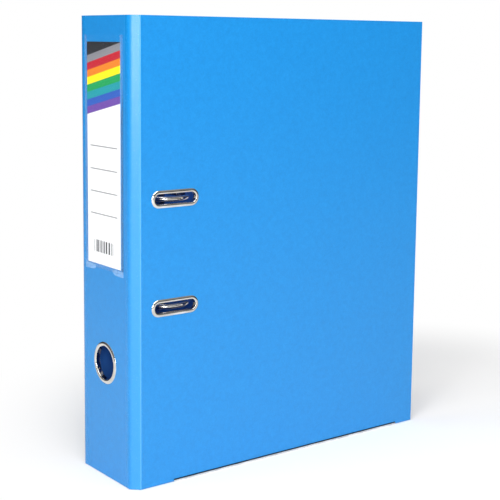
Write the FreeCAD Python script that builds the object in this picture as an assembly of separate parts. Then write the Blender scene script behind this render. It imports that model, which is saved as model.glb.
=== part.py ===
import FreeCAD, Part
import math
import os

# A lever arch file, standing upright. Sizes are millimetres. The spine faces -X, the front cover
# -Y and the back cover +Y. Inside the file, u is measured from the spine's outer face, v from the
# back cover's inner face towards the front cover, and z from the middle of the height.

HEIGHT = 345.0
WIDTH = 283.0
THICKNESS = 78.0
BEVEL = 6.0

# Covers: greyboard between a coloured covering and a lining.
COVERING = 0.3
BOARD = 1.8
LINING = 0.3
TURN_IN = 12.0
HINGE_T = 0.7
CREASE_GAP = 0.15
MITRE = math.radians(22.5)
COVER_T = COVERING + BOARD + LINING

# Edge protectors, clipped over the bottom edges of both covers.
PROTECTOR_T = 0.4
PROTECTOR_H = 2.2
PROTECTOR_START = 35.0
PROTECTOR_END_MARGIN = 19.0

# Eyelets in the front cover and the finger ring in the spine.
HOLE_PITCH = 80.0
EYELET_PROUD = 0.8
EYELET_WALL = 0.6
EYELET_LIP = 0.8
EYELET_LIP_T = 0.3
EYELET_PLAY = 0.1
EYELET_ROUND = 0.5
BACKING_T = 0.5
SLOT_U = 35.8
SLOT_LENGTH = 41.0
SLOT_WIDTH = 13.0
SLOT_RIM = 2.7
SLOT_BACKING = 1.0
SLOT_RISE = 1.6
RING_D = 32.0
RING_RIM = 3.2
RING_BACKING = 0.5
RING_AT = 0.2545
SPINE_AXIS = 1.5

# Label pocket and card on the spine.
POCKET_MARGIN = 6.0
POCKET_LOW = 0.461
POCKET_TOP_MARGIN = 14.0
POCKET_T = 0.8
POCKET_FILM = 0.3
POCKET_WELD = 3.0
CARD_T = 0.3
CARD_PLAY = 0.5
CARD_TOP_MARGIN = 19.0

# Base plate of the mechanism, riveted to the back cover.
PLATE_T = 1.0
PLATE_U0 = 17.0
PLATE_U1 = 68.0
PLATE_OVERHANG = 38.0
PLATE_CORNER = 5.0
RIVET_OVERHANG = 28.0
RIVET_INSET_LOW = 5.0
RIVET_INSET_HIGH = 6.0
RIVET_R = 2.0
RIVET_PLAY = 0.1
RIVET_HEAD_R = 3.8
RIVET_HEAD_H = 1.2
RIVET_FOOT_R = 4.5
BEAD_R = 1.2
BEAD_LEFT_U = 21.0
BEAD_RIGHT_U = 54.5
BEAD_RIGHT_HALF = 28.0

# Arch: one bent wire with a shaft, two arches and a crank.
WIRE_R = 2.0
SHAFT_U = 28.0
SHAFT_V = 5.0
SHAFT_PLAY = 0.06
SHAFT_BEND = 5.0
LEG_TOP_U = 25.5
APEX_U = 40.5
POST_U = 60.5
ARCH_HEADROOM = 0.5
TIP_DROP = 5.4
TIP_GAP = 0.17
TIP_SLOPE = math.radians(30.0)
CRANK_U = 39.9
CRANK_HALF = 14.0
CRANK_BEND = 3.5
CRANK_FLOOR_GAP = 0.3
LUG_FROM_POST = 9.0
LUG_T = 1.2
LUG_R = 4.5
WINDOW_LENGTH = 6.0

# Posts that the paper sits on.
POST_R = 2.5
POST_FOOT_R = 4.0
POST_FOOT_T = 1.4
POST_STAKE_R = 2.0

# Lever, its axle and its roller.
LEVER_U = 39.5
LEVER_WIDTH = 13.8
LEVER_T = 1.2
LEVER_HEADROOM = 4.2
LEVER_HEEL = 5.0
LEVER_SKIRT = 3.2
LEVER_TIP_DEPTH = 4.4
LEVER_TAPER_FROM = 24.0
LEVER_ROLL_R = 1.5
AXLE_Z = 22.0
AXLE_V = 11.0
AXLE_R = 1.5
AXLE_END = 0.6
PIN_PLAY = 0.05
EAR_GAP = 0.4
EAR_T = 1.2
EAR_R = 4.0
ROLLER_R = 5.0
ROLLER_FROM_AXLE = 15.0
ROLLER_SIDE_GAP = 0.5
ROLLER_GAP = 0.05
ROLLER_TOP_GAP = 0.45
ROLLER_PIN_R = 1.2
ROLLER_PIN_END = 0.25

# Torsion spring on the shaft.
SPRING_WIRE_R = 0.6
SPRING_KNUCKLE_R = 0.63
SPRING_COIL_R = 3.1
SPRING_PITCH = 1.3
SPRING_END_GAP = 5.0
SPRING_CRANK_GAP = 1.0
SPRING_TOUCH = 0.05
SPRING_RISE = 5.0
SPRING_HOOK_V = 15.0
SPRING_HOOK_PAST = 3.0
SPRING_FOOT = 8.0

# Compressor bar that slides on the posts.
BAR_U0 = 51.0
BAR_U1 = 71.0
BAR_OVERHANG = 20.0
BAR_V = 3.4
BAR_T = 1.0
BAR_EDGE = 3.0
BAR_CORNER = 4.0
BUSH_PLAY = 0.06
BUSH_NECK_R = 3.6
BUSH_FLANGE_R = 5.5
BUSH_FLANGE_T = 0.6
BUSH_LIP_R = 4.4
BUSH_LIP_T = 1.0
BUSH_LENGTH = 5.2

# Straight runs shorter than this are left out of a bent wire.
SHORTEST = 0.001

HALF_PITCH = HOLE_PITCH / 2
MID_Z = HEIGHT / 2
LOW_Z = PROTECTOR_T - MID_Z
HIGH_Z = HEIGHT - MID_Z
SPINE_X = (EYELET_PROUD - WIDTH) / 2
BACK_Y = THICKNESS / 2 - COVER_T
GAP = THICKNESS - 2 * COVER_T
FRONT_V = GAP + COVER_T
SPINE_FLAT = THICKNESS - 2 * BEVEL
SPINE_V = GAP / 2 - SPINE_AXIS
RING_Z = RING_AT * HEIGHT - MID_Z

ARCH_REACH = GAP - SHAFT_V - BACKING_T - ARCH_HEADROOM - WIRE_R
SHOULDER_R = POST_U - APEX_U
SHOULDER_V = math.sqrt((ARCH_REACH - SHOULDER_R) ** 2 - (APEX_U - SHAFT_U) ** 2)
APEX_V = SHAFT_V + SHOULDER_V + SHOULDER_R
LEG_R = APEX_U - LEG_TOP_U
POST_TOP = SHAFT_V + SHOULDER_V - TIP_DROP
CRANK_V = PLATE_T + CRANK_FLOOR_GAP + WIRE_R
LUG_Z = HALF_PITCH - LUG_FROM_POST

ROLLER_V = CRANK_V + WIRE_R + ROLLER_GAP + ROLLER_R
ROLLER_Z = AXLE_Z - ROLLER_FROM_AXLE
WEB_V = ROLLER_V + ROLLER_R + ROLLER_TOP_GAP
LEVER_LENGTH = GAP - AXLE_V - LEVER_HEADROOM
LEVER_LOW_U = LEVER_U - LEVER_WIDTH / 2
LEVER_HIGH_U = LEVER_U + LEVER_WIDTH / 2

SPRING_LOW_Z = SPRING_END_GAP - LUG_Z
SPRING_HIGH_Z = -CRANK_HALF - WIRE_R - SPRING_CRANK_GAP


def at(u, v, z):
    """A point in the file, from its u, v and z."""
    return FreeCAD.Vector(SPINE_X + u, BACK_Y - v, MID_Z + z)


def box(u0, u1, v0, v1, z0, z1):
    """A block between two corners."""
    return Part.makeBox(u1 - u0, v1 - v0, z1 - z0, at(u0, v1, z0))


def rod(start, end, radius):
    """A round bar between two points."""
    along = end.sub(start)
    return Part.makeCylinder(radius, along.Length, start, along)


def join(shapes):
    """One clean solid from shapes that meet."""
    return shapes[0].multiFuse(shapes[1:]).removeSplitter()


def layer(start, end, inward, t0, t1, z0, z1, clear0, clear1, mitred_end):
    """A flat layer of a folded panel between two creases, from depth t0 to depth t1."""
    run = math.hypot(end[0] - start[0], end[1] - start[1])
    along = ((end[0] - start[0]) / run, (end[1] - start[1]) / run)
    corners = []
    for depth, far in ((t0, False), (t0, True), (t1, True), (t1, False)):
        slant = depth * math.tan(MITRE)
        distance = clear0 + slant
        if far:
            distance = run - clear1 - (slant if mitred_end else 0.0)
        u = start[0] + along[0] * distance + inward[0] * depth
        v = start[1] + along[1] * distance + inward[1] * depth
        corners.append(at(u, v, z0))
    outline = Part.makePolygon(corners + [corners[0]])
    return Part.Face(outline).extrude(FreeCAD.Vector(0, 0, z1 - z0))


def panel_layers(start, end, inward, mitred_end):
    """Covering, board and lining of one panel; the covering wraps the panel's free edges."""
    free = 0.0
    if mitred_end:
        free = CREASE_GAP
    edge = COVERING
    turn = TURN_IN
    if mitred_end:
        edge = CREASE_GAP
        turn = CREASE_GAP
    whole = layer(start, end, inward, 0, COVER_T, LOW_Z, HIGH_Z, CREASE_GAP, free, mitred_end)
    board = layer(start, end, inward, COVERING, COVERING + BOARD, LOW_Z + COVERING,
                  HIGH_Z - COVERING, CREASE_GAP, edge, mitred_end)
    lining = layer(start, end, inward, COVERING + BOARD, COVER_T, LOW_Z + TURN_IN,
                   HIGH_Z - TURN_IN, CREASE_GAP, turn, mitred_end)
    covering = whole.cut(board).cut(lining)
    return covering, board, lining


def hinge_strip(start, end, inward):
    """A creased strip of doubled covering between the spine and a cover."""
    return layer(start, end, inward, 0, HINGE_T, LOW_Z, HIGH_Z, CREASE_GAP, CREASE_GAP, True)


def edge_protector(outer_v, inner_v):
    """A folded metal channel on a cover's bottom edge."""
    high_u = WIDTH - PROTECTOR_END_MARGIN
    low_z = -MID_Z
    channel = box(PROTECTOR_START, high_u, min(outer_v, inner_v) - PROTECTOR_T,
                  max(outer_v, inner_v) + PROTECTOR_T, low_z, low_z + PROTECTOR_H)
    return channel.cut(box(PROTECTOR_START, high_u, min(outer_v, inner_v),
                           max(outer_v, inner_v), LOW_Z, HIGH_Z))


def slot_block(length, width, v0, v1, z):
    """A round-ended block through the front cover at a slot."""
    straight = (length - width) / 2
    block = box(SLOT_U - straight, SLOT_U + straight, v0, v1, z - width / 2, z + width / 2)
    ends = []
    for side in (-1, 1):
        u = SLOT_U + side * straight
        ends.append(rod(at(u, v0, z), at(u, v1, z), width / 2))
    return join([block] + ends)


def slot_hole(z):
    """The hole that a slot eyelet's neck passes through."""
    grow = 2 * (EYELET_WALL + EYELET_PLAY - SLOT_RIM)
    return slot_block(SLOT_LENGTH + grow, SLOT_WIDTH + grow, GAP - 1, FRONT_V + 1, z)


def round_outer_edges(shape, face_at, axis):
    """Round the outer rim of an eyelet's flange."""
    edges = []
    for edge in shape.Edges:
        lowest = min(getattr(vertex.Point, axis) for vertex in edge.Vertexes)
        highest = max(getattr(vertex.Point, axis) for vertex in edge.Vertexes)
        if abs(lowest - face_at) < 0.001 and abs(highest - face_at) < 0.001:
            edges.append(edge)
    return shape.makeFillet(EYELET_ROUND, edges)


def slot_eyelet(z):
    """A pressed metal rim that lines a slot and is rolled over inside."""
    flange = slot_block(SLOT_LENGTH, SLOT_WIDTH, FRONT_V, FRONT_V + EYELET_PROUD, z)
    flange = round_outer_edges(flange, BACK_Y - FRONT_V - EYELET_PROUD, "y")
    inner = 2 * (EYELET_WALL - SLOT_RIM)
    inside_v = GAP - BACKING_T - EYELET_LIP_T
    neck = slot_block(SLOT_LENGTH + inner, SLOT_WIDTH + inner, inside_v, FRONT_V, z)
    lip_grow = inner + 2 * EYELET_LIP
    lip = slot_block(SLOT_LENGTH + lip_grow, SLOT_WIDTH + lip_grow, inside_v,
                     inside_v + EYELET_LIP_T, z)
    opening = slot_block(SLOT_LENGTH - 2 * SLOT_RIM, SLOT_WIDTH - 2 * SLOT_RIM,
                         inside_v - 1, FRONT_V + 2, z)
    return join([flange, neck, lip]).cut(opening)


def slot_backing(z):
    """The flat rim that the eyelet is rolled over."""
    plate = slot_block(SLOT_LENGTH + 2 * SLOT_BACKING, SLOT_WIDTH + 2 * SLOT_BACKING,
                       GAP - BACKING_T, GAP, z)
    return plate.cut(slot_hole(z))


def ring_block(diameter, u0, u1):
    """A disc through the spine at the finger hole."""
    return rod(at(u0, SPINE_V, RING_Z), at(u1, SPINE_V, RING_Z), diameter / 2)


def ring_hole():
    """The hole that the finger ring's neck passes through."""
    return ring_block(RING_D - 2 * (RING_RIM - EYELET_WALL - EYELET_PLAY), -1, COVER_T + 1)


def finger_ring():
    """The metal ring in the spine that a finger pulls the file out by."""
    flange = ring_block(RING_D, -EYELET_PROUD, 0)
    flange = round_outer_edges(flange, SPINE_X - EYELET_PROUD, "x")
    opening_d = RING_D - 2 * RING_RIM
    neck_d = opening_d + 2 * EYELET_WALL
    inside_u = COVER_T + BACKING_T + EYELET_LIP_T
    neck = ring_block(neck_d, 0, inside_u)
    lip = ring_block(neck_d + 2 * EYELET_LIP, inside_u - EYELET_LIP_T, inside_u)
    return join([flange, neck, lip]).cut(ring_block(opening_d, -2, inside_u + 1))


def ring_washer():
    """The flat washer that the finger ring is rolled over."""
    disc = ring_block(RING_D + 2 * RING_BACKING, COVER_T, COVER_T + BACKING_T)
    return disc.cut(ring_hole())


def pocket_span():
    """Side and end positions of the label pocket."""
    half = SPINE_FLAT / 2 - POCKET_MARGIN
    low = POCKET_LOW * HEIGHT - MID_Z
    high = HIGH_Z - POCKET_TOP_MARGIN
    return SPINE_V - half, SPINE_V + half, low, high


def label_pocket():
    """A clear film pocket, welded down at its sides and bottom and open at the top."""
    v0, v1, low, high = pocket_span()
    film = box(-POCKET_T, 0, v0, v1, low, high)
    room = box(-POCKET_T + POCKET_FILM, 0, v0 + POCKET_WELD, v1 - POCKET_WELD,
               low + POCKET_WELD, high)
    step_low = box(-POCKET_T, -POCKET_FILM, v0, v0 + POCKET_WELD - POCKET_FILM, low, high)
    step_high = box(-POCKET_T, -POCKET_FILM, v1 - POCKET_WELD + POCKET_FILM, v1, low, high)
    step_end = box(-POCKET_T, -POCKET_FILM, v0, v1, low, low + POCKET_WELD - POCKET_FILM)
    return film.cut(room).cut(step_low).cut(step_high).cut(step_end)


def label_card():
    """The printed card in the pocket."""
    v0, v1, low, high = pocket_span()
    side = POCKET_WELD + CARD_PLAY
    return box(-CARD_T, 0, v0 + side, v1 - side, low + side - CARD_PLAY, HIGH_Z - CARD_TOP_MARGIN)


def rivet_places():
    """Where the base plate is riveted to the back cover."""
    places = []
    for u in (PLATE_U0 + RIVET_INSET_LOW, PLATE_U1 - RIVET_INSET_HIGH):
        for side in (-1, 1):
            places.append((u, side * (HALF_PITCH + RIVET_OVERHANG)))
    return places


def rivet_hole(u, z):
    """The hole for one rivet, through the plate and the back cover."""
    return rod(at(u, -COVER_T - 1, z), at(u, PLATE_T + 1, z), RIVET_R + RIVET_PLAY)


def rivet(u, z):
    """A rivet with a domed head inside and a flat foot outside."""
    shank = rod(at(u, -COVER_T, z), at(u, PLATE_T, z), RIVET_R)
    foot = rod(at(u, -COVER_T - EYELET_PROUD, z), at(u, -COVER_T, z), RIVET_FOOT_R)
    foot = round_outer_edges(foot, BACK_Y + COVER_T + EYELET_PROUD, "y")
    dome_r = (RIVET_HEAD_R ** 2 + RIVET_HEAD_H ** 2) / (2 * RIVET_HEAD_H)
    ball = Part.makeSphere(dome_r, at(u, PLATE_T + RIVET_HEAD_H - dome_r, z))
    head = ball.common(rod(at(u, PLATE_T, z), at(u, PLATE_T + RIVET_HEAD_H, z), RIVET_HEAD_R))
    return join([shank, foot, head])


def rounded_plate(u0, u1, v0, v1, half, corner):
    """A sheet with rounded corners, centred on the mid-height."""
    sheet = box(u0, u1, v0, v1, -half, half)
    corners = [edge for edge in sheet.Edges if abs(edge.tangentAt(edge.FirstParameter).y) > 0.9]
    return sheet.makeFillet(corner, corners)


def shaft_lug(z):
    """A lug, bent up from the plate, that the arch's shaft turns in."""
    foot = box(SHAFT_U - LUG_R, SHAFT_U + LUG_R, 0, SHAFT_V, z - LUG_T / 2, z + LUG_T / 2)
    top = rod(at(SHAFT_U, SHAFT_V, z - LUG_T / 2), at(SHAFT_U, SHAFT_V, z + LUG_T / 2), LUG_R)
    hole = rod(at(SHAFT_U, SHAFT_V, z - LUG_T), at(SHAFT_U, SHAFT_V, z + LUG_T),
               WIRE_R + SHAFT_PLAY)
    return join([foot, top]).cut(hole)


def ear_spans():
    """The two u spans of the ears that hold the lever's axle."""
    low = LEVER_LOW_U - EAR_GAP
    high = LEVER_HIGH_U + EAR_GAP
    return (low - EAR_T, low), (high, high + EAR_T)


def lever_ear(u0, u1):
    """An ear, bent up from the plate, that holds the lever's axle."""
    foot = box(u0, u1, 0, AXLE_V, AXLE_Z - EAR_R, AXLE_Z + EAR_R)
    top = rod(at(u0, AXLE_V, AXLE_Z), at(u1, AXLE_V, AXLE_Z), EAR_R)
    hole = rod(at(u0 - 1, AXLE_V, AXLE_Z), at(u1 + 1, AXLE_V, AXLE_Z), AXLE_R)
    return join([foot, top]).cut(hole)


def bead(u, half):
    """A pressed stiffening bead on the plate."""
    return rod(at(u, PLATE_T, -half), at(u, PLATE_T, half), BEAD_R)


def base_plate():
    """The pressed steel plate of the mechanism, with its lugs and ears."""
    half = HALF_PITCH + PLATE_OVERHANG
    plate = rounded_plate(PLATE_U0, PLATE_U1, 0, PLATE_T, half, PLATE_CORNER)
    slab = box(PLATE_U0, PLATE_U1, 0, PLATE_T + BEAD_R, -half, half)
    beads = [bead(BEAD_LEFT_U, HALF_PITCH), bead(BEAD_RIGHT_U, BEAD_RIGHT_HALF)]
    raised = [shape.common(slab) for shape in beads]
    lugs = [shaft_lug(-LUG_Z), shaft_lug(LUG_Z)]
    ears = [lever_ear(u0, u1) for u0, u1 in ear_spans()]
    plate = join([plate] + raised + lugs + ears)
    for side in (-1, 1):
        near = side * (LUG_Z + LUG_T / 2)
        far = near + side * WINDOW_LENGTH
        plate = plate.cut(box(SHAFT_U - LUG_R, SHAFT_U + LUG_R, -1, PLATE_T + 1,
                              min(near, far), max(near, far)))
        plate = plate.cut(rod(at(POST_U, -1, side * HALF_PITCH),
                              at(POST_U, PLATE_T + 1, side * HALF_PITCH), POST_STAKE_R))
    plate = plate.cut(box(LEVER_LOW_U, LEVER_HIGH_U, -1, PLATE_T + 1,
                          AXLE_Z - EAR_R, AXLE_Z + EAR_R))
    for u, z in rivet_places():
        plate = plate.cut(rivet_hole(u, z))
    return plate


def post(z):
    """A post for the paper, staked in the plate, with a hollow top that the arch's tip enters."""
    stake = rod(at(POST_U, 0, z), at(POST_U, PLATE_T, z), POST_STAKE_R)
    foot = rod(at(POST_U, PLATE_T, z), at(POST_U, PLATE_T + POST_FOOT_T, z), POST_FOOT_R)
    stem = rod(at(POST_U, PLATE_T, z), at(POST_U, POST_TOP, z), POST_R)
    depth = WIRE_R * math.tan(TIP_SLOPE)
    hollow = Part.makeCone(0, WIRE_R, depth, at(POST_U, POST_TOP - depth, z),
                           FreeCAD.Vector(0, -1, 0))
    return join([stake, foot, stem]).cut(hollow)


def bent_wire(points, bends, radius):
    """A round wire through the points, with the given bend radius at each corner."""
    pieces = []
    begin = points[0]
    for corner, before, after, bend in zip(points[1:-1], points[:-2], points[2:], bends):
        back = before.sub(corner).normalize()
        on = after.sub(corner).normalize()
        half = back.getAngle(on) / 2
        start = corner.add(FreeCAD.Vector(back).multiply(bend / math.tan(half)))
        middle = back.add(on).normalize()
        centre = corner.add(middle.multiply(bend / math.sin(half)))
        axis = back.cross(start.sub(centre))
        disc = Part.Face(Part.Wire(Part.makeCircle(radius, start, back)))
        if start.sub(begin).Length > SHORTEST:
            pieces.append(rod(begin, start, radius))
        pieces.append(disc.revolve(centre, axis, 180 - 2 * math.degrees(half)))
        begin = corner.add(FreeCAD.Vector(on).multiply(bend / math.tan(half)))
    pieces.append(rod(begin, points[-1], radius))
    return join(pieces)


def arch_side(side):
    """Corner points and bends from an arch's tip to its end of the shaft."""
    z = side * HALF_PITCH
    slant = (SHAFT_U - LEG_TOP_U) * (APEX_V - SHAFT_V) / (APEX_V - LEG_R - SHAFT_V)
    points = [at(POST_U, POST_TOP + TIP_GAP, z), at(POST_U, APEX_V, z),
              at(SHAFT_U - slant, APEX_V, z), at(SHAFT_U, SHAFT_V, z),
              at(SHAFT_U, SHAFT_V, side * CRANK_HALF), at(CRANK_U, CRANK_V, side * CRANK_HALF)]
    turn = math.atan2(slant, APEX_V - SHAFT_V)
    tangent = 1 / math.tan((math.pi / 2 - turn) / 2)
    leg_bend = (APEX_U - SHAFT_U + slant) / tangent
    return points, [SHOULDER_R, leg_bend, SHAFT_BEND, CRANK_BEND, CRANK_BEND]


def arch_wire():
    """The arch: a single wire with coned tips, turning on its shaft and moved by its crank."""
    upper, bends = arch_side(1)
    lower, lower_bends = arch_side(-1)
    wire = bent_wire(upper + lower[::-1], bends + lower_bends[::-1], WIRE_R)
    depth = WIRE_R * math.tan(TIP_SLOPE)
    tips = []
    for side in (-1, 1):
        apex = at(POST_U, POST_TOP + TIP_GAP - depth, side * HALF_PITCH)
        tips.append(Part.makeCone(0, WIRE_R, depth, apex, FreeCAD.Vector(0, -1, 0)))
    return join([wire] + tips)


def torsion_spring():
    """The spring that swings the arch open, coiled on the shaft."""
    length = SPRING_HIGH_Z - SPRING_LOW_Z
    turns = math.floor(length / SPRING_PITCH - 0.25) + 0.25
    helix = Part.makeHelix(length / turns, length, SPRING_COIL_R, 0, True)
    helix.rotate(FreeCAD.Vector(0, 0, 0), FreeCAD.Vector(0, 0, 1), 180)
    helix.translate(at(SHAFT_U, SHAFT_V, SPRING_LOW_Z))
    begin = at(SHAFT_U - SPRING_COIL_R, SHAFT_V, SPRING_LOW_Z)
    slope = math.atan2(length / turns, 2 * math.pi * SPRING_COIL_R)
    along = FreeCAD.Vector(0, -math.cos(slope), -math.sin(slope))
    disc = Part.Wire(Part.makeCircle(SPRING_WIRE_R, begin, along))
    coil = Part.Wire(helix.Edges).makePipeShell([disc], True, True)
    reach = SHAFT_U - (SHAFT_U - LEG_TOP_U) * (SPRING_HOOK_V - SHAFT_V) / (APEX_V - LEG_R - SHAFT_V)
    hook_u = reach + WIRE_R + SPRING_WIRE_R + SPRING_TOUCH
    hook_z = -HALF_PITCH - SPRING_HOOK_PAST
    hook_points = [begin, at(SHAFT_U - SPRING_COIL_R, SHAFT_V + SPRING_RISE, SPRING_LOW_Z),
                   at(hook_u, SPRING_HOOK_V, SPRING_LOW_Z), at(hook_u, SPRING_HOOK_V, hook_z)]
    hook = bent_wire(hook_points, [2.0, 2.0], SPRING_WIRE_R)
    foot_start = at(SHAFT_U, SHAFT_V - SPRING_COIL_R, SPRING_HIGH_Z)
    foot_end = at(SHAFT_U + SPRING_FOOT, PLATE_T + SPRING_WIRE_R + SPRING_TOUCH, SPRING_HIGH_Z)
    foot = rod(foot_start, foot_end, SPRING_WIRE_R)
    spring = coil.fuse(Part.makeSphere(SPRING_KNUCKLE_R, begin)).fuse(hook)
    return spring.fuse(Part.makeSphere(SPRING_KNUCKLE_R, foot_start)).fuse(foot)


def lever_flange(u0):
    """One side of the lever's channel, tapering towards the thumb end."""
    skirt_v = AXLE_V - LEVER_SKIRT
    tip_z = AXLE_Z - LEVER_LENGTH
    corners = [(AXLE_Z + LEVER_HEEL, skirt_v), (AXLE_Z + LEVER_HEEL, WEB_V + LEVER_T),
               (tip_z + LEVER_ROLL_R, WEB_V + LEVER_T),
               (tip_z + LEVER_ROLL_R, WEB_V + LEVER_T - LEVER_TIP_DEPTH),
               (AXLE_Z - LEVER_TAPER_FROM, skirt_v)]
    points = [at(u0, v, z) for z, v in corners]
    side = Part.Face(Part.makePolygon(points + [points[0]]))
    side = side.extrude(FreeCAD.Vector(LEVER_T, 0, 0))
    heel = [edge for edge in side.Edges
            if abs(edge.tangentAt(edge.FirstParameter).x) > 0.9
            and edge.BoundBox.ZMin > at(0, 0, AXLE_Z).z]
    return side.makeFillet(LEVER_HEEL / 2, heel)


def lever():
    """The pressed steel lever, a channel with a rolled thumb end."""
    tip_z = AXLE_Z - LEVER_LENGTH
    web = box(LEVER_LOW_U, LEVER_HIGH_U, WEB_V, WEB_V + LEVER_T, tip_z + LEVER_ROLL_R,
              AXLE_Z + LEVER_HEEL / 2)
    flanges = [lever_flange(LEVER_LOW_U), lever_flange(LEVER_HIGH_U - LEVER_T)]
    roll_v = WEB_V + LEVER_T - LEVER_ROLL_R
    roll = rod(at(LEVER_LOW_U, roll_v, tip_z + LEVER_ROLL_R),
               at(LEVER_HIGH_U, roll_v, tip_z + LEVER_ROLL_R), LEVER_ROLL_R)
    shape = join([web, roll] + flanges)
    shape = shape.cut(rod(at(LEVER_LOW_U - 1, AXLE_V, AXLE_Z), at(LEVER_HIGH_U + 1, AXLE_V, AXLE_Z),
                          AXLE_R + PIN_PLAY))
    return shape.cut(rod(at(LEVER_LOW_U - 1, ROLLER_V, ROLLER_Z),
                         at(LEVER_HIGH_U + 1, ROLLER_V, ROLLER_Z), ROLLER_PIN_R))


def lever_axle():
    """The pin that the lever turns on, pressed into the two ears."""
    low, high = ear_spans()
    return rod(at(low[0] - AXLE_END, AXLE_V, AXLE_Z), at(high[1] + AXLE_END, AXLE_V, AXLE_Z), AXLE_R)


def roller_pin():
    """The pin that the roller turns on, pressed into the lever's sides."""
    return rod(at(LEVER_LOW_U - ROLLER_PIN_END, ROLLER_V, ROLLER_Z),
               at(LEVER_HIGH_U + ROLLER_PIN_END, ROLLER_V, ROLLER_Z), ROLLER_PIN_R)


def roller():
    """The roller that presses on the arch's crank."""
    low = LEVER_LOW_U + LEVER_T + ROLLER_SIDE_GAP
    high = LEVER_HIGH_U - LEVER_T - ROLLER_SIDE_GAP
    wheel = rod(at(low, ROLLER_V, ROLLER_Z), at(high, ROLLER_V, ROLLER_Z), ROLLER_R)
    return wheel.cut(rod(at(low - 1, ROLLER_V, ROLLER_Z), at(high + 1, ROLLER_V, ROLLER_Z),
                         ROLLER_PIN_R + PIN_PLAY))


def compressor_bar():
    """The steel bar that holds the paper down, a shallow channel with rounded ends."""
    half = HALF_PITCH + BAR_OVERHANG
    block = rounded_plate(BAR_U0, BAR_U1, BAR_V, BAR_V + BAR_EDGE + BAR_T, half, BAR_CORNER)
    bar = block.cut(box(BAR_U0 + BAR_T, BAR_U1 - BAR_T, BAR_V + BAR_T, BAR_V + 2 * BAR_EDGE,
                        -half - 1, half + 1))
    for side in (-1, 1):
        z = side * HALF_PITCH
        bar = bar.cut(rod(at(POST_U, BAR_V - 1, z), at(POST_U, BAR_V + BAR_T + 1, z), BUSH_NECK_R))
    return bar


def compressor_bush(z):
    """A plastic bush, snapped into the bar, that slides on a post."""
    low = BAR_V - BUSH_FLANGE_T
    flange = rod(at(POST_U, low, z), at(POST_U, BAR_V, z), BUSH_FLANGE_R)
    neck = rod(at(POST_U, low, z), at(POST_U, low + BUSH_LENGTH, z), BUSH_NECK_R)
    lip = rod(at(POST_U, BAR_V + BAR_T, z), at(POST_U, BAR_V + BAR_T + BUSH_LIP_T, z), BUSH_LIP_R)
    bore = rod(at(POST_U, low - 1, z), at(POST_U, low + BUSH_LENGTH + 1, z), POST_R + BUSH_PLAY)
    return join([flange, neck, lip]).cut(bore)


def build():
    """Every piece of the file, by name."""
    parts = {}
    back_low = (0.0, BEVEL - COVER_T)
    back_high = (BEVEL, -COVER_T)
    front_low = (0.0, FRONT_V - BEVEL)
    front_high = (BEVEL, FRONT_V)
    slant = math.sqrt(0.5)

    back = panel_layers(back_high, (WIDTH, -COVER_T), (0, 1), False)
    spine = panel_layers(back_low, front_low, (1, 0), True)
    front = panel_layers(front_high, (WIDTH, FRONT_V), (0, -1), False)
    for number, kind in enumerate(("covering", "board", "lining")):
        back_layer = back[number]
        for u, z in rivet_places():
            back_layer = back_layer.cut(rivet_hole(u, z))
        parts["back_" + kind] = back_layer
        parts["spine_" + kind] = spine[number].cut(ring_hole())
        front_layer = front[number]
        for side in (-1, 1):
            front_layer = front_layer.cut(slot_hole(side * HALF_PITCH + SLOT_RISE))
        parts["front_" + kind] = front_layer
    parts["back_hinge_strip"] = hinge_strip(back_low, back_high, (slant, slant))
    parts["front_hinge_strip"] = hinge_strip(front_low, front_high, (slant, -slant))
    parts["back_edge_protector"] = edge_protector(-COVER_T, 0)
    parts["front_edge_protector"] = edge_protector(FRONT_V, GAP)

    parts["finger_ring"] = finger_ring()
    parts["ring_washer"] = ring_washer()
    parts["label_pocket"] = label_pocket()
    parts["label_card"] = label_card()
    for name, side in (("lower", -1), ("upper", 1)):
        z = side * HALF_PITCH
        parts["slot_eyelet_" + name] = slot_eyelet(z + SLOT_RISE)
        parts["slot_backing_" + name] = slot_backing(z + SLOT_RISE)
        parts["post_" + name] = post(z)
        parts["compressor_bush_" + name] = compressor_bush(z)

    parts["base_plate"] = base_plate()
    for number, place in enumerate(rivet_places(), 1):
        parts["rivet_" + str(number)] = rivet(*place)
    parts["arch_wire"] = arch_wire()
    parts["torsion_spring"] = torsion_spring()
    parts["lever"] = lever()
    parts["lever_axle"] = lever_axle()
    parts["roller_pin"] = roller_pin()
    parts["roller"] = roller()
    parts["compressor_bar"] = compressor_bar()
    return parts


os.makedirs("parts", exist_ok=True)
for part_name, part_shape in build().items():
    part_shape.exportStep("parts/" + part_name + ".step")
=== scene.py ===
import math

import bpy
from mathutils import Matrix, Vector


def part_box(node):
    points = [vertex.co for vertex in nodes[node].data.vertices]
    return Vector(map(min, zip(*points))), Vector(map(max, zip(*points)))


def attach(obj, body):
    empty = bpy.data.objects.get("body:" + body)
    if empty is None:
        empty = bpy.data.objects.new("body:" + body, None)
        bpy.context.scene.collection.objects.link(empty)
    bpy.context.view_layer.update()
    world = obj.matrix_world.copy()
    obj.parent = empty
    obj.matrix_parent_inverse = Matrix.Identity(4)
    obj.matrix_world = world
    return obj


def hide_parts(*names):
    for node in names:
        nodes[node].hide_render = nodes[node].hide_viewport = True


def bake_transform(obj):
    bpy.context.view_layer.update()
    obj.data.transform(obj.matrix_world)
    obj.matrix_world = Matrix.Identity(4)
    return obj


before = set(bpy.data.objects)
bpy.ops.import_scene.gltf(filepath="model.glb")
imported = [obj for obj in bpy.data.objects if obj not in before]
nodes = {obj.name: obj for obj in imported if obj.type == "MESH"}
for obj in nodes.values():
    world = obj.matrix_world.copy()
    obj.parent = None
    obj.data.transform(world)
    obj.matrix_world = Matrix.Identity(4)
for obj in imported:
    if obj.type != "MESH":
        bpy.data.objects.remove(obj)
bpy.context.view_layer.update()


# The three boards. Solid grey millboard, pressed from waste paper and guillotined to size. The
# covering and the lining are glued over it, so only the walls of the punched holes show it bare.
BOARD_GREY = "8b857b"
BOARD_FIBRE_MM = 1.2


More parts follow.
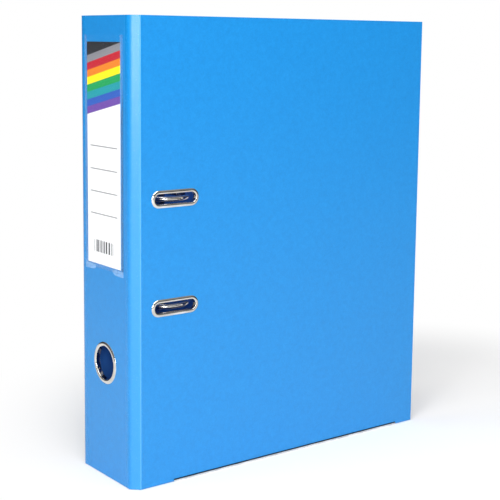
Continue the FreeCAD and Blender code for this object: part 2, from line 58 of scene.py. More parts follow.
def linear(hex_colour):
    """An sRGB hex colour as linear red, green, blue and alpha."""
    channels = [int(hex_colour[i:i + 2], 16) / 255 for i in (0, 2, 4)]
    return [c / 12.92 if c <= 0.04045 else ((c + 0.055) / 1.055) ** 2.4 for c in channels] + [1.0]


def new_material(name):
    """An empty material with a Principled shader, and its tree and shader."""
    material = bpy.data.materials.new(name)
    material.use_nodes = True
    tree = material.node_tree
    return material, tree, tree.nodes["Principled BSDF"]


def add(tree, kind, inputs=None, stops=(), **settings):
    """One node with its settings, a ramp's stops, and its sockets linked or set."""
    made = tree.nodes.new(kind)
    for name, value in settings.items():
        setattr(made, name, value)
    for number, (position, colour) in enumerate(stops):
        if number >= len(made.color_ramp.elements):
            made.color_ramp.elements.new(1.0)
        made.color_ramp.elements[number].position = position
        made.color_ramp.elements[number].color = colour
    for socket, value in (inputs or {}).items():
        if isinstance(value, bpy.types.NodeSocket):
            tree.links.new(value, made.inputs[socket])
        else:
            made.inputs[socket].default_value = value
    return made


def per_mm(size):
    """A pattern's scale, in repeats per metre, for one repeat every size millimetres."""
    return 1000.0 / size


def paint(names, material):
    """Gives CAD nodes a material."""
    for name in names:
        nodes[name].data.materials.clear()
        nodes[name].data.materials.append(material)


# Millboard: matt grey, flecked with darker and lighter fibres, quite rough.
millboard, tree, shader = new_material("millboard_pressed_grey")
where = add(tree, "ShaderNodeTexCoord").outputs["Object"]
flecks = add(tree, "ShaderNodeTexNoise", {"Vector": where, "Scale": per_mm(BOARD_FIBRE_MM),
                                          "Detail": 4.0, "Roughness": 0.7})
tint = add(tree, "ShaderNodeValToRGB", {"Fac": flecks.outputs["Fac"]},
           stops=[(0.3, linear("6f6a62")), (0.55, linear(BOARD_GREY)), (0.8, linear("a59f94"))])
tree.links.new(tint.outputs["Color"], shader.inputs["Base Color"])
bump = add(tree, "ShaderNodeBump", {"Height": flecks.outputs["Fac"], "Strength": 0.3,
                                    "Distance": 0.0002})
tree.links.new(bump.outputs["Normal"], shader.inputs["Normal"])
shader.inputs["Roughness"].default_value = 0.9
paint(["back_board", "spine_board", "front_board"], millboard)


# The covering. Blue polypropylene-faced paper, printed with a fine grain, glued over the boards
# and turned in over their edges. It is one sheet: it runs on over the creases beside the spine.
COVER_BLUE = "0e89d4"
COVER_BLUE_DEEP = "0b83cd"
COVER_BLUE_PALE = "1790da"
# The creased film's paler blue, partly stretched film and partly painted sheen, and the painted
# highlight along its crest.
CREASED_SHEEN_BLUE = "3095db"
CREST_HIGHLIGHT_BLUE = "74bdf2"
GRAIN_MM = 1.1
MOTTLE_MM = 4.0
SHEET_WAVE_MM = 90.0
BEVEL = 0.006


def covering_film(name, roughness, creased):
    """Grained film: a satin sheen broken by a fine grain, with a faint mottle and no flat area.
    Where it is creased it is painted paler, partly for the stretched film and partly as painted
    sheen for the light the bevel catches, with a painted highlight along the crest."""
    material, tree, shader = new_material(name)
    where = add(tree, "ShaderNodeTexCoord").outputs["Object"]
    mottle = add(tree, "ShaderNodeTexNoise", {"Vector": where, "Scale": per_mm(MOTTLE_MM),
                                              "Detail": 5.0, "Roughness": 0.62})
    grain = add(tree, "ShaderNodeTexVoronoi", {"Vector": where, "Scale": per_mm(GRAIN_MM),
                                               "Randomness": 1.0}, feature="SMOOTH_F1")
    fine = add(tree, "ShaderNodeTexNoise", {"Vector": where, "Scale": per_mm(GRAIN_MM),
                                            "Detail": 2.0})
    both = add(tree, "ShaderNodeMix", {"Factor": 0.5, "A": mottle.outputs["Fac"],
                                       "B": fine.outputs["Fac"]}, data_type="FLOAT")
    tint = add(tree, "ShaderNodeValToRGB", {"Fac": both.outputs["Result"]},
               stops=[(0.32, linear(COVER_BLUE_DEEP)), (0.5, linear(COVER_BLUE)),
                      (0.70, linear(COVER_BLUE_PALE))])
    colour = tint.outputs["Color"]
    if creased:
        # Painted light: the stretch attribute pales the film, partly for stretch and partly as
        # painted sheen, and above one it paints the crest's highlight.
        stretch = add(tree, "ShaderNodeAttribute", attribute_name="stretch").outputs["Fac"]
        uneven = add(tree, "ShaderNodeMapRange", {"Value": both.outputs["Result"],
                                                  "From Min": 0.3, "From Max": 0.7,
                                                  "To Min": 0.75, "To Max": 1.0})
        amount = add(tree, "ShaderNodeMath", {0: stretch, 1: uneven.outputs["Result"]},
                     operation="MULTIPLY")
        pale = add(tree, "ShaderNodeMix", {"Factor": amount.outputs["Value"], "A": colour,
                                           "B": linear(CREASED_SHEEN_BLUE)}, data_type="RGBA")
        past = add(tree, "ShaderNodeMath", {0: stretch, 1: 1.0}, operation="SUBTRACT",
                   use_clamp=True)
        crest = add(tree, "ShaderNodeMix", {"Factor": past.outputs["Value"],
                                            "A": pale.outputs["Result"],
                                            "B": linear(CREST_HIGHLIGHT_BLUE)}, data_type="RGBA")
        colour = crest.outputs["Result"]
    tree.links.new(colour, shader.inputs["Base Color"])
    wave = add(tree, "ShaderNodeTexNoise", {"Vector": where, "Scale": per_mm(SHEET_WAVE_MM),
                                            "Detail": 1.0})
    slow = add(tree, "ShaderNodeBump", {"Height": wave.outputs["Fac"], "Strength": 0.2,
                                        "Distance": 0.002})
    sharp = add(tree, "ShaderNodeBump", {"Height": grain.outputs["Distance"], "Strength": 0.3,
                                         "Distance": 0.00012, "Normal": slow.outputs["Normal"]})
    tree.links.new(sharp.outputs["Normal"], shader.inputs["Normal"])
    gloss = add(tree, "ShaderNodeMapRange", {"Value": fine.outputs["Fac"],
                                             "To Min": roughness - 0.05,
                                             "To Max": roughness + 0.07})
    tree.links.new(gloss.outputs["Result"], shader.inputs["Roughness"])
    shader.inputs["IOR"].default_value = 1.54
    return material


covering = covering_film("polypropylene_paper_grained", 0.36, False)
paint(["back_covering", "spine_covering", "front_covering", "back_hinge_strip",
       "front_hinge_strip"], covering)

# The film over the creases is burnished by the creasing rule, so it is glossier. It is painted
# paler there, partly for the stretched film and partly as painted sheen for the light the bevel
# catches, with a painted highlight along the crest.
crease_film = covering_film("polypropylene_paper_creased_sheen", 0.24, True)

front_low, front_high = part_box("front_covering")
OUT_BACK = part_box("back_covering")[1].y
OUT_FRONT = front_low.y
OUT_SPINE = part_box("spine_covering")[0].x
FOOT_Z = front_low.z
TOP_Z = front_high.z

# Each crease: the two bodies it joins, the outer corner line, the directions along the two
# panels away from it, and the panels' outward normals.
SLANT = math.sqrt(0.5)
CREASES = [
    ("back_cover", "back_hinge", (OUT_SPINE + BEVEL, OUT_BACK), (1, 0), (-SLANT, -SLANT),
     (0, 1), (-SLANT, SLANT)),
    ("back_hinge", "spine", (OUT_SPINE, OUT_BACK - BEVEL), (SLANT, SLANT), (0, -1),
     (-SLANT, SLANT), (-1, 0)),
    ("spine", "front_hinge", (OUT_SPINE, OUT_FRONT + BEVEL), (0, 1), (SLANT, -SLANT),
     (-1, 0), (-SLANT, -SLANT)),
    ("front_hinge", "front_cover", (OUT_SPINE + BEVEL, OUT_FRONT), (-SLANT, SLANT), (1, 0),
     (-SLANT, -SLANT), (0, -1)),
]
STRIP_HALF = BEVEL * math.sqrt(2) / 2


def smooth(mesh, angle):
    """Shades a mesh smooth, but keeps edges sharper than the angle in degrees."""
    mesh.polygons.foreach_set("use_smooth", [True] * len(mesh.polygons))
    mesh.set_sharp_from_angle(angle=math.radians(angle))


def new_piece(name, vertices, faces, material, angle=35):
    """A mesh object with one material."""
    mesh = bpy.data.meshes.new(name)
    mesh.from_pydata(vertices, [], faces)
    mesh.validate()
    mesh.update()
    mesh.materials.append(material)
    smooth(mesh, angle)
    piece = bpy.data.objects.new(name, mesh)
    bpy.context.scene.collection.objects.link(piece)
    return piece


def sheet_along_z(name, profile, thickness, low, high, rows, material, stretch=None, normals=None):
    """A thin sheet whose section is the profile, thickened to its right-hand side. Its points may
    carry how pale the film is painted there, for its stretch and for painted sheen and highlight,
    and the normals it is shaded with."""
    offsets = []
    for i, point in enumerate(profile):
        before = profile[max(i - 1, 0)]
        after = profile[min(i + 1, len(profile) - 1)]
        along = (Vector(after) - Vector(before)).normalized()
        offsets.append(Vector(point) + Vector((along.y, -along.x)) * thickness)
    loop = [Vector(p) for p in profile] + offsets[::-1]
    count = len(loop)
    vertices = []
    for row in range(rows + 1):
        z = low + (high - low) * row / rows
        vertices += [(p.x, p.y, z) for p in loop]
    faces = []
    for row in range(rows):
        for i in range(count):
            j = (i + 1) % count
            base = row * count
            faces.append((base + i, base + j, base + count + j, base + count + i))
    for i in range(len(profile) - 1):
        far = count - 1 - i
        faces.append((i, far, far - 1, i + 1))
        top = rows * count
        faces.append((top + i, top + i + 1, top + far - 1, top + far))
    piece = new_piece(name, vertices, faces, material, 50)
    if stretch:
        amounts = piece.data.attributes.new("stretch", "FLOAT", "POINT")
        amounts.data.foreach_set("value", (list(stretch) + list(stretch)[::-1]) * (rows + 1))
    if normals:
        under = [-normal for normal in normals[::-1]]
        piece.data.normals_split_custom_set_from_vertices(
            [(normal.x, normal.y, 0.0) for normal in normals + under] * (rows + 1))
    return piece


# The outside of each crease: the covering rolled over the corner, softly beside the spine and
# tightly beside the cover. It stands a little proud of the flat sheets, fading out along them, and
# it is shaded as if it turned over a wider band than the roll, which softens its edge.
CREASE_RADIUS = 0.0010
SPINE_RADIUS = 0.0026
CREASE_PROUD = 0.00005
SPINE_PROUD = 0.00018
LAP_PROUD = 0.00002
CREASE_SHEET = 0.00010
CREASE_LAP = 0.0016
SPINE_LAP = 0.0045
# The paint's paling on the crease film: its ease beside the spine, painted shading of the soft
# roll, and beside the cover, then the crest's painted highlight, its half width and its peak.
SPINE_EASE = 0.0032
COVER_EASE = 0.0009
CREST_HIGHLIGHT_HALF = 0.00045
CREST_HIGHLIGHT_PEAK = 0.5
SPINE_TURN = 0.0036
COVER_TURN = 0.0008
EASE_START = 0.0004
FLAT_STEPS, ROLL_STEPS = 8, 12
SHEET_ROWS = 24


def eased(share):
    """A share held between 0 and 1, with soft ends."""
    share = min(max(share, 0.0), 1.0)
    return share * share * (3 - 2 * share)


def crease_outside(corner, along_a, along_b, out_a, out_b, laps, falls, radius, proud):
    """The rounded profile of a crease's outside, from panel a round to panel b, and how far each
    point is along panel a, as a negative length, or along panel b. The sheet runs on along each
    panel for its lap, and sinks towards it by its fall."""
    corner, along_a, along_b = Vector(corner), Vector(along_a), Vector(along_b)
    out_a, out_b = Vector(out_a), Vector(out_b)
    middle = (out_a + out_b).normalized()
    half = out_a.angle(out_b) / 2
    tip = corner + middle * (proud / math.cos(half))
    centre = tip - middle * (radius / math.cos(half))
    run = radius * math.tan(half)
    points, places = [], []
    for i in range(FLAT_STEPS):
        share = 1 - i / FLAT_STEPS
        places.append(-(run + (laps[0] - run) * share))
        points.append(tip - along_a * places[-1] - out_a * (falls[0] * share))
    for i in range(ROLL_STEPS + 1):
        share = i / ROLL_STEPS
        direction = (out_a * (1 - share) + out_b * share).normalized()
        points.append(centre + direction * radius)
        places.append(run * (2 * share - 1))
    for i in range(1, FLAT_STEPS + 1):
        share = i / FLAT_STEPS
        places.append(run + (laps[1] - run) * share)
        points.append(tip + along_b * places[-1] - out_b * (falls[1] * share))
    return [tuple(p) for p in points], places


def crease_stretch_and_highlight(place, onto_cover):
    """How pale the film is painted at a place, in metres from the crease towards the strip's
    middle:
    for its stretch, and as painted sheen that eases in beside the spine, with a painted highlight
    that peaks in a crest beside the cover."""
    if not onto_cover:
        return eased((place + EASE_START) / SPINE_EASE)
    if place > CREST_HIGHLIGHT_HALF:
        return 1.0
    if place > -CREST_HIGHLIGHT_HALF:
        return 1.0 + CREST_HIGHLIGHT_PEAK * (1 - abs(place) / CREST_HIGHLIGHT_HALF)
    return max(0.0, 1.0 + (place + CREST_HIGHLIGHT_HALF) / COVER_EASE)


def crease_normal(place, out_a, out_b, turn):
    """The normal at a place along the profile: panel a's before the turn, and panel b's past it."""
    share = eased((place + turn) / (2 * turn))
    return (Vector(out_a) * (1 - share) + Vector(out_b) * share).normalized()


for a, b, corner, along_a, along_b, out_a, out_b in CREASES:
    onto_cover = "cover" in a or "cover" in b
    radius, proud, lap = ((CREASE_RADIUS, CREASE_PROUD, CREASE_LAP) if onto_cover else
                          (SPINE_RADIUS, SPINE_PROUD, SPINE_LAP))
    laps = [STRIP_HALF if "hinge" in body else lap for body in (a, b)]
    falls = [proud - (CREASE_PROUD if "hinge" in body else LAP_PROUD) for body in (a, b)]
    profile, places = crease_outside(corner, along_a, along_b, out_a, out_b, laps, falls,
                                     radius, proud)
    inward = 1 if "hinge" in b else -1
    # The crease film's painted paleness: stretch and painted sheen, with the crest's painted
    # highlight.
    stretch = [crease_stretch_and_highlight(place * inward, onto_cover) for place in places]
    turn = COVER_TURN if onto_cover else SPINE_TURN
    normals = [crease_normal(place, out_a, out_b, turn) for place in places]
    inner_side = -1 if Vector(out_a).cross(Vector(out_b)) > 0 else 1
    rolled = sheet_along_z("crease_film_" + a + "_" + b, profile, inner_side * CREASE_SHEET,
                           FOOT_Z, TOP_Z, SHEET_ROWS, crease_film, stretch, normals)
    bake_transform(rolled)


# The lining. Blue uncoated paper, one sheet glued inside over the turned-in covering, and
# pressed down into the grooves between the boards so that the covers can fold.
LINING_BLUE = "337bd2"
LINING_FIBRE_MM = 0.8
GROOVE_DEPTH = 0.0007
PANEL_DEPTH = 0.0024
LINING_LIFT = 0.00006
LINING_SHEET = 0.00012
LINING_LAP = 0.0045
LINING_MARGIN = 0.006
LINING_CLOUD_MM = 9.0
# The lining's bend into the groove: the places, short of the strip's middle, where it lies on the
# strip; the gap by the board's edge; the places past that gap where it still lies on the panel;
# and how far past the edge, and how much less deep, it turns down.
GROOVE_FLATS = (0.0, 0.0007, 0.0014)
EDGE_GAP = 0.00015
EDGE_BEND = (0.0015, 0.0003)
EDGE_TURN, EDGE_RISE = 0.0001, 0.0003
ROUNDING_STEPS, ROUNDING_PASSES = 4, 2

lining, tree, shader = new_material("lining_paper_dyed")
where = add(tree, "ShaderNodeTexCoord").outputs["Object"]
fibre = add(tree, "ShaderNodeTexNoise", {"Vector": where, "Scale": per_mm(LINING_FIBRE_MM),
                                         "Detail": 3.0, "Roughness": 0.7})
cloud = add(tree, "ShaderNodeTexNoise", {"Vector": where, "Scale": per_mm(LINING_CLOUD_MM),
                                         "Detail": 4.0})
blend = add(tree, "ShaderNodeMix", {"Factor": 0.5, "A": fibre.outputs["Fac"],
                                    "B": cloud.outputs["Fac"]}, data_type="FLOAT")
tint = add(tree, "ShaderNodeValToRGB", {"Fac": blend.outputs["Result"]},
           stops=[(0.3, linear("2e72c5")), (0.5, linear(LINING_BLUE)), (0.7, linear("387fd6"))])
tree.links.new(tint.outputs["Color"], shader.inputs["Base Color"])
bump = add(tree, "ShaderNodeBump", {"Height": fibre.outputs["Fac"], "Strength": 0.25,
                                    "Distance": 0.0001})
tree.links.new(bump.outputs["Normal"], shader.inputs["Normal"])
shader.inputs["Roughness"].default_value = 0.78
paint(["back_lining", "spine_lining", "front_lining"], lining)


def inside_of(corner, along, out, distance, depth):
    """The point that far along a panel from its crease, and that deep inside it."""
    return Vector(corner) + Vector(along) * distance - Vector(out) * depth


for a, b, corner, along_a, along_b, out_a, out_b in CREASES:
    ends = []
    for body, along, out in ((a, along_a, out_a), (b, along_b, out_b)):
        if "hinge" in body:
            depth = GROOVE_DEPTH + LINING_LIFT
            ends.append([inside_of(corner, along, out, d, depth)
                         for d in (STRIP_HALF - flat for flat in GROOVE_FLATS)])
        else:
            depth = PANEL_DEPTH + LINING_LIFT
            edge = PANEL_DEPTH * math.tan(math.radians(22.5)) + EDGE_GAP
            ends.append([inside_of(corner, along, out, edge + reach, depth)
                         for reach in (LINING_LAP,) + EDGE_BEND])
            ends[-1].append(inside_of(corner, along, out, edge - EDGE_TURN,
                                      PANEL_DEPTH - EDGE_RISE))
    points = ends[0] + ends[1][::-1]
    rounded = []
    for first, second in zip(points[:-1], points[1:]):
        rounded += [first + (second - first) * k / ROUNDING_STEPS for k in range(ROUNDING_STEPS)]
    rounded.append(points[-1])
    for _ in range(ROUNDING_PASSES):
        rounded = [rounded[0]] + [(p + q * 2 + r) / 4 for p, q, r in
                                  zip(rounded[:-2], rounded[1:-1], rounded[2:])] + [rounded[-1]]
    outer_side = 1 if Vector(out_a).cross(Vector(out_b)) > 0 else -1
    pressed = sheet_along_z("groove_lining_" + a + "_" + b, [tuple(p) for p in rounded],
                            outer_side * LINING_SHEET, FOOT_Z + LINING_MARGIN,
                            TOP_Z - LINING_MARGIN, SHEET_ROWS, lining)
    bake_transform(pressed)


# The edge protectors. A strip of nickel-plated steel folded into a channel and clamped over the
# bottom edge of each cover, where the file slides on the shelf.
PROTECTOR_PALE = "e4e4e3"
# A painted line of shade along the strip's top edge: its grey, and the heights where it starts and
# where it is full.
EDGE_SHADE_GREY = "2b3038"
EDGE_SHADE_FROM, EDGE_SHADE_TO = 0.0011, 0.0015
SCRATCH_MM = 0.7
SMEAR_MM = 14.0


def plated_metal(name, dark, pale, roughness, scratch_mm, stretch, bevel_mm):
    """Plated steel: a metal's own reflections, softened a little by fine marks along the grain."""
    material, tree, shader = new_material(name)
    where = add(tree, "ShaderNodeTexCoord").outputs["Object"]
    along = add(tree, "ShaderNodeMapping", {"Vector": where, "Scale": stretch})
    marks = add(tree, "ShaderNodeTexNoise", {"Vector": along.outputs["Vector"],
                                             "Scale": per_mm(scratch_mm), "Detail": 3.0,
                                             "Roughness": 0.6})
    smear = add(tree, "ShaderNodeTexNoise", {"Vector": where, "Scale": per_mm(SMEAR_MM),
                                             "Detail": 2.0})
    tint = add(tree, "ShaderNodeValToRGB", {"Fac": smear.outputs["Fac"]},
               stops=[(0.35, linear(dark)), (0.65, linear(pale))])
    tree.links.new(tint.outputs["Color"], shader.inputs["Base Color"])
    gloss = add(tree, "ShaderNodeMapRange", {"Value": marks.outputs["Fac"],
                                             "From Min": 0.3, "From Max": 0.7,
                                             "To Min": roughness * 0.75,
                                             "To Max": roughness * 1.3})
    tree.links.new(gloss.outputs["Result"], shader.inputs["Roughness"])
    round_edges = add(tree, "ShaderNodeBevel", {"Radius": bevel_mm / 1000}, samples=4)
    bump = add(tree, "ShaderNodeBump", {"Height": marks.outputs["Fac"], "Strength": 0.06,
                                        "Distance": 0.00005,
                                        "Normal": round_edges.outputs["Normal"]})
    tree.links.new(bump.outputs["Normal"], shader.inputs["Normal"])
    shader.inputs["Metallic"].default_value = 1.0
    return material


protector_steel = plated_metal("nickel_plated_strip_rolled", "c9cacb", PROTECTOR_PALE, 0.28,
                               SCRATCH_MM, (0.15, 1.0, 1.0), 0.12)
# The strip's rolled top edge carries a painted dark line of shade against the film.
tree = protector_steel.node_tree
shader = tree.nodes["Principled BSDF"]
clean = shader.inputs["Base Color"].links[0].from_socket
where = add(tree, "ShaderNodeTexCoord").outputs["Object"]
height = add(tree, "ShaderNodeSeparateXYZ", {"Vector": where}).outputs["Z"]
edge_shade = add(tree, "ShaderNodeMapRange", {"Value": height, "From Min": EDGE_SHADE_FROM,
                                         "From Max": EDGE_SHADE_TO})
edge_shaded = add(tree, "ShaderNodeMix", {"Factor": edge_shade.outputs["Result"], "A": clean,
                                    "B": linear(EDGE_SHADE_GREY)}, data_type="RGBA")
tree.links.new(edge_shaded.outputs["Result"], shader.inputs["Base Color"])
paint(["back_edge_protector", "front_edge_protector"], protector_steel)


# The slot rims. Each slot in the front cover is lined with an eyelet drawn from thin brass
# sheet and nickel plated. Its domed rim lies on the covering and its neck is rolled over a flat
# backing plate inside.
NICKEL_PALE = "e9e6e0"
NICKEL_DARK = "c9c5bd"
RIM_STEPS = 24
RIM_REACH = 0.0027

nickel = plated_metal("nickel_plated_brass_polished", NICKEL_DARK, NICKEL_PALE, 0.10, 0.9,
                      (1.0, 1.0, 1.0), 0.10)

# The rim's section in millimetres: out from the opening's edge, then up from the covering. It
# runs up the neck, over the dome, back under the rim and round the rolled lip inside.
RIM_SECTION = [(0.0, -2.8), (0.0, 0.05), (0.06, 0.30), (0.20, 0.52), (0.42, 0.68), (0.72, 0.77),
               (1.05, 0.80), (1.40, 0.77), (1.75, 0.68), (2.08, 0.54), (2.36, 0.36), (2.58, 0.17),
               (2.70, 0.0), (0.62, 0.0), (0.62, -2.85), (1.20, -2.90), (1.40, -3.02),
               (1.40, -3.12), (1.20, -3.20), (0.40, -3.20), (0.10, -3.08)]


def rim(name, centre, along, across, out, straight, opening, width_scale, material):
    """A domed rim round a round-ended opening, from the section above."""
    vertices = []
    centre, along, across, out = Vector(centre), Vector(along), Vector(across), Vector(out)
    outline = []
    for side, begin in ((1, -90), (-1, 90)):
        for i in range(RIM_STEPS + 1):
            angle = math.radians(begin + 180 * i / RIM_STEPS)
            outline.append((side * straight, math.cos(angle), math.sin(angle)))
    for shift, c, s in outline:
        for reach, height in RIM_SECTION:
            radius = opening + reach * width_scale / 1000
            vertices.append(centre + along * (shift + radius * c) + across * (radius * s)
                            + out * (height / 1000))
    count, section = len(outline), len(RIM_SECTION)
    faces = []
    for i in range(count):
        for j in range(section):
            k, m = (i + 1) % count, (j + 1) % section
            faces.append((i * section + j, k * section + j, k * section + m, i * section + m))
    return new_piece(name, [tuple(v) for v in vertices], faces, material, 60)


for name in ("upper", "lower"):
    low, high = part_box("slot_eyelet_" + name)
    length, height = high.x - low.x, high.z - low.z
    opening = height / 2 - RIM_REACH
    middle = ((low.x + high.x) / 2, OUT_FRONT, (low.z + high.z) / 2)
    slot_rim = rim("slot_rim_" + name, middle, (1, 0, 0), (0, 0, 1), (0, -1, 0),
                   (length - height) / 2, opening, 1.0, nickel)
    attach(slot_rim, "front_cover")
    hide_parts("slot_eyelet_" + name)
paint(["slot_backing_upper", "slot_backing_lower"], nickel)


# The finger ring. The same kind of eyelet, round, set low in the spine so that a finger can
# hook the file off a shelf. A flat washer backs it inside.
RING_RIM_REACH = 0.0032

low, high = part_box("finger_ring")
ring_middle = (OUT_SPINE, (low.y + high.y) / 2, (low.z + high.z) / 2)
finger_rim = rim("finger_ring_rim", ring_middle, (0, -1, 0), (0, 0, 1), (-1, 0, 0), 0.0,
                 (high.y - low.y) / 2 - RING_RIM_REACH, RING_RIM_REACH / RIM_REACH, nickel)
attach(finger_rim, "spine")
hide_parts("finger_ring")
paint(["ring_washer"], nickel)


# The label card. White card, printed with plain slanting stripes in spectrum order at its top,
# four thin ruled lines to write on and a small block of bars at its foot, and no lettering.
CARD_WHITE = "f6f6f7"
RULE_GREY = "77767a"
BLOCK_GREY = "38383c"
STRIPE_SLOPE = 0.208
PULP_MM = 0.9
card_low, card_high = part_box("label_card")
CARD_W = card_high.y - card_low.y

# The stripes' colours, from the white part up. They are equally high, and the lowest one's lower
# edge meets the card's left side this many millimetres below the card's top. Next come the
# rules' drops from the top, and the block of bars, whose widths are set by a noise.
STRIPES = ["6f4aa8", "2b5cbc", "149aa6", "12a257", "fff000", "ee8418", "c4142a", "8a8a90",
           "202024"]
STRIPES_FOOT_MM = 53.5
STRIPE_MM = 5.4
PRINTED_MM = 70.0
RULES = [76.0, 93.0, 109.7, 126.3]
RULE_MM = 0.65
RULE_MARGIN = 0.0045
BLOCK_DROP_MM, BLOCK_H_MM = 146.0, 9.0
BLOCK_LEFT, BLOCK_RIGHT = 0.0095, 0.0365
BAR_PITCH_MM = 2.0

# Coated card: flat printed colours, each with a clean edge, over a faint pulp texture.
card, tree, shader = new_material("card_offset_printed")
where = add(tree, "ShaderNodeTexCoord").outputs["Object"]
split = add(tree, "ShaderNodeSeparateXYZ", {"Vector": where})
across = add(tree, "ShaderNodeMath", {0: card_high.y, 1: split.outputs["Y"]},
             operation="SUBTRACT").outputs["Value"]
drop = add(tree, "ShaderNodeMath", {0: card_high.z, 1: split.outputs["Z"]},
           operation="SUBTRACT").outputs["Value"]
slanted = add(tree, "ShaderNodeMath", {0: across, 1: STRIPE_SLOPE, 2: drop},
              operation="MULTIPLY_ADD").outputs["Value"]
share = add(tree, "ShaderNodeMapRange", {"Value": slanted, "From Min": PRINTED_MM / 1000,
                                         "From Max": 0.0})
bars = add(tree, "ShaderNodeValToRGB", {"Fac": share.outputs["Result"]},
           stops=[(0.0, linear(CARD_WHITE))] +
           [(1 - (STRIPES_FOOT_MM - STRIPE_MM * number) / PRINTED_MM, linear(colour))
            for number, colour in enumerate(STRIPES)])
bars.color_ramp.interpolation = "CONSTANT"
printed = bars.outputs["Color"]

# Each printed mark: the value that it tests, its middle and half its width, in metres. The
# marks of one group must all hold.
MARKS = [([(drop, height / 1000, RULE_MM / 2000),
           (across, CARD_W / 2, CARD_W / 2 - RULE_MARGIN)], RULE_GREY) for height in RULES]
bar_place = add(tree, "ShaderNodeMath", {0: across, 1: per_mm(BAR_PITCH_MM)},
                operation="MULTIPLY").outputs["Value"]
bar_ink = add(tree, "ShaderNodeTexNoise", {"W": bar_place, "Scale": 1.0, "Detail": 1.0},
              noise_dimensions="1D").outputs["Fac"]
MARKS.append(([(drop, (BLOCK_DROP_MM + BLOCK_H_MM / 2) / 1000, BLOCK_H_MM / 2000),
               (across, (BLOCK_LEFT + BLOCK_RIGHT) / 2, (BLOCK_RIGHT - BLOCK_LEFT) / 2),
               (bar_ink, 0.75, 0.25)], BLOCK_GREY))
for tests, ink in MARKS:
    inside = 1.0
    for value, centre, half in tests:
        close = add(tree, "ShaderNodeMath", {0: value, 1: centre, 2: half}, operation="COMPARE")
        inside = add(tree, "ShaderNodeMath", {0: inside, 1: close.outputs["Value"]},
                     operation="MULTIPLY").outputs["Value"]
    printed = add(tree, "ShaderNodeMix", {"Factor": inside, "A": printed, "B": linear(ink)},
                  data_type="RGBA").outputs["Result"]
tree.links.new(printed, shader.inputs["Base Color"])
pulp = add(tree, "ShaderNodeTexNoise", {"Vector": where, "Scale": per_mm(PULP_MM), "Detail": 3.0})
bump = add(tree, "ShaderNodeBump", {"Height": pulp.outputs["Fac"], "Strength": 0.12,
                                    "Distance": 0.00005})
tree.links.new(bump.outputs["Normal"], shader.inputs["Normal"])
shader.inputs["Roughness"].default_value = 0.6
paint(["label_card"], card)


# The label pocket. Clear soft PVC film, high-frequency welded to the covering down both sides
# and along the bottom, with a ribbed weld line. The top is left open for the card.
FILM_TINT = "c4e2ff"
RIB_MM = 1.6
WELD_MM = 3.0
WRINKLE_MM = 30.0
CLEAR_ALPHA, WELD_ALPHA = 0.006, 0.12
pocket_low, pocket_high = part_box("label_pocket")

# Clear film: nearly invisible over the card, milky and ribbed where it is welded.
film, tree, shader = new_material("pvc_film_welded")
where = add(tree, "ShaderNodeTexCoord").outputs["Object"]
split = add(tree, "ShaderNodeSeparateXYZ", {"Vector": where})
welded = 0.0
for edge, axis in ((pocket_low.y, "Y"), (pocket_high.y, "Y"), (pocket_low.z, "Z")):
    band = add(tree, "ShaderNodeMath", {0: split.outputs[axis], 1: edge, 2: WELD_MM / 1000},
               operation="COMPARE")
    welded = add(tree, "ShaderNodeMath", {0: welded, 1: band.outputs["Value"]},
                 operation="MAXIMUM").outputs["Value"]
ribs = add(tree, "ShaderNodeTexWave", {"Vector": where, "Scale": per_mm(RIB_MM) / 20.0},
           wave_type="BANDS", bands_direction="DIAGONAL", wave_profile="SIN")
height = add(tree, "ShaderNodeMath", {0: ribs.outputs["Fac"], 1: welded},
             operation="MULTIPLY").outputs["Value"]
wrinkle = add(tree, "ShaderNodeTexNoise", {"Vector": where, "Scale": per_mm(WRINKLE_MM),
                                           "Detail": 1.0})
ripple = add(tree, "ShaderNodeBump", {"Height": wrinkle.outputs["Fac"], "Strength": 0.3,
                                      "Distance": 0.001})
bump = add(tree, "ShaderNodeBump", {"Height": height, "Strength": 0.6, "Distance": 0.0003,
                                    "Normal": ripple.outputs["Normal"]})
tree.links.new(bump.outputs["Normal"], shader.inputs["Normal"])
cloudy = add(tree, "ShaderNodeMapRange", {"Value": welded, "To Min": CLEAR_ALPHA,
                                          "To Max": WELD_ALPHA})
tree.links.new(cloudy.outputs["Result"], shader.inputs["Alpha"])
shader.inputs["Base Color"].default_value = linear(FILM_TINT)
shader.inputs["Roughness"].default_value = 0.12
shader.inputs["IOR"].default_value = 1.53
paint(["label_pocket"], film)

